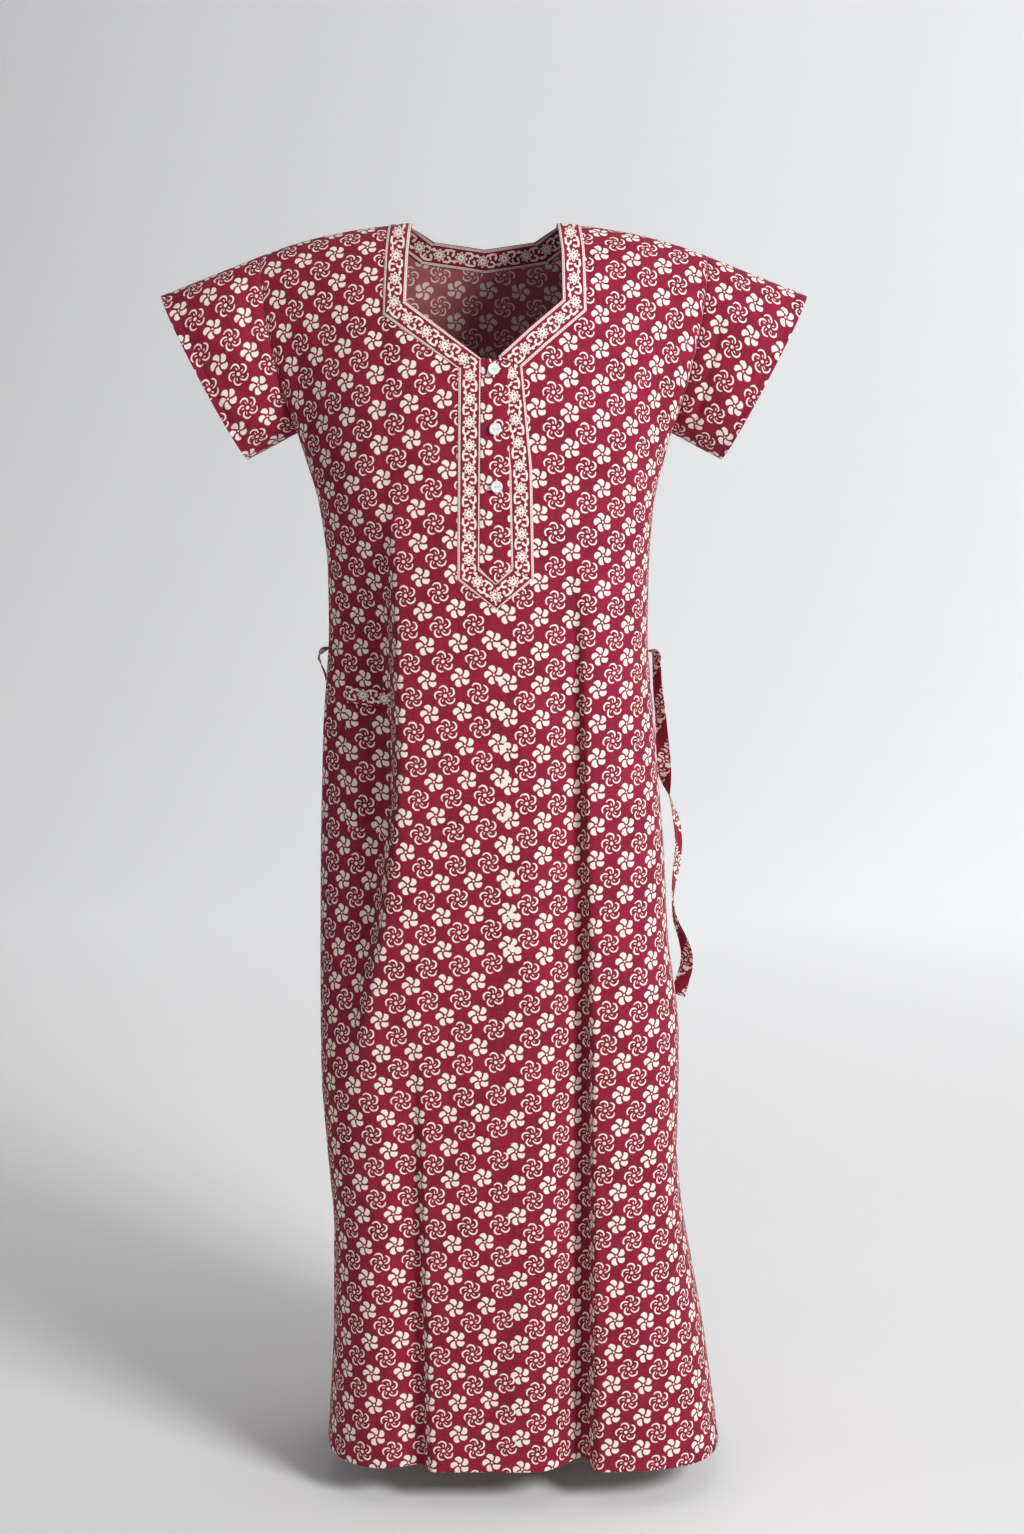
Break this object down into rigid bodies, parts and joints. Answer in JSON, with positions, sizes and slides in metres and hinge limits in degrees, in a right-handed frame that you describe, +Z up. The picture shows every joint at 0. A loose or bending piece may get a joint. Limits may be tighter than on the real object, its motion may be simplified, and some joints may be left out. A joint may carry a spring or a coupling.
{
  "type": "patient gown",
  "caption": "Long short-sleeved cotton gown with a banded V neck, a buttoned placket, a patch pocket and a hanging tie at each side of the waist.",
  "frame": {"origin": "midway between the tops of the two shoulders, on the line that the gown hangs from", "axes": "+Z up, -Y towards the front with the buttons, +X towards the wearer's left"},
  "size_m": [0.696, 0.3118, 1.3652],
  "materials": {
    "printed_cotton": "matte",
    "border_cotton": "matte",
    "button_shell": "gloss",
    "sewing_thread": "matte"
  },
  "bodies": {
    "gown": {"front_panel": "printed_cotton", "back_panel": "printed_cotton", "neck_band_right": "border_cotton", "neck_band_left": "border_cotton", "neck_band_back": "border_cotton", "placket_band_right": "border_cotton", "placket_band_left": "border_cotton", "placket_tip_right": "border_cotton", "placket_tip_left": "border_cotton", "pocket_band": "border_cotton", "pocket_patch": "printed_cotton", "button_stand": "printed_cotton", "buttonhole_stand": "printed_cotton"},
    "right_sleeve": {"sleeve_right": "printed_cotton"},
    "left_sleeve": {"sleeve_left": "printed_cotton"},
    "top_button": {"button_top": "button_shell", "button_top_thread": "sewing_thread"},
    "middle_button": {"button_middle": "button_shell", "button_middle_thread": "sewing_thread"},
    "bottom_button": {"button_bottom": "button_shell", "button_bottom_thread": "sewing_thread"},
    "right_tie": {"waist_tie_right": "printed_cotton"},
    "left_tie": {"waist_tie_left": "printed_cotton"}
  },
  "joints": [
    {"name": "right_sleeve_lift", "type": "hinge", "parent": "gown", "child": "right_sleeve", "pos_m": [-0.2412, 0, -0.036], "axis": [0, 1, 0], "range_deg": [0, 12]},
    {"name": "left_sleeve_lift", "type": "hinge", "parent": "gown", "child": "left_sleeve", "pos_m": [0.2412, 0, -0.036], "axis": [0, -1, 0], "range_deg": [0, 12]},
    {"name": "right_tie_swing", "type": "hinge", "parent": "gown", "child": "right_tie", "pos_m": [-0.1755, 0.003, -0.456], "axis": [0, 1, 0], "range_deg": [0, 35]},
    {"name": "left_tie_swing", "type": "hinge", "parent": "gown", "child": "left_tie", "pos_m": [0.1828, 0.003, -0.456], "axis": [0, -1, 0], "range_deg": [0, 35]},
    {"name": "top_button_tilt", "type": "hinge", "parent": "gown", "child": "top_button", "pos_m": [0.01101, -0.11665, -0.15176], "axis": [1, 0, 0], "range_deg": [-10, 10], "stiffness_Nm_per_rad": 0.002},
    {"name": "middle_button_tilt", "type": "hinge", "parent": "gown", "child": "middle_button", "pos_m": [0.01252, -0.12312, -0.21292], "axis": [1, 0, 0], "range_deg": [-10, 10], "stiffness_Nm_per_rad": 0.002},
    {"name": "bottom_button_tilt", "type": "hinge", "parent": "gown", "child": "bottom_button", "pos_m": [0.01401, -0.1238, -0.273], "axis": [1, 0, 0], "range_deg": [-10, 10], "stiffness_Nm_per_rad": 0.002}
  ]
}
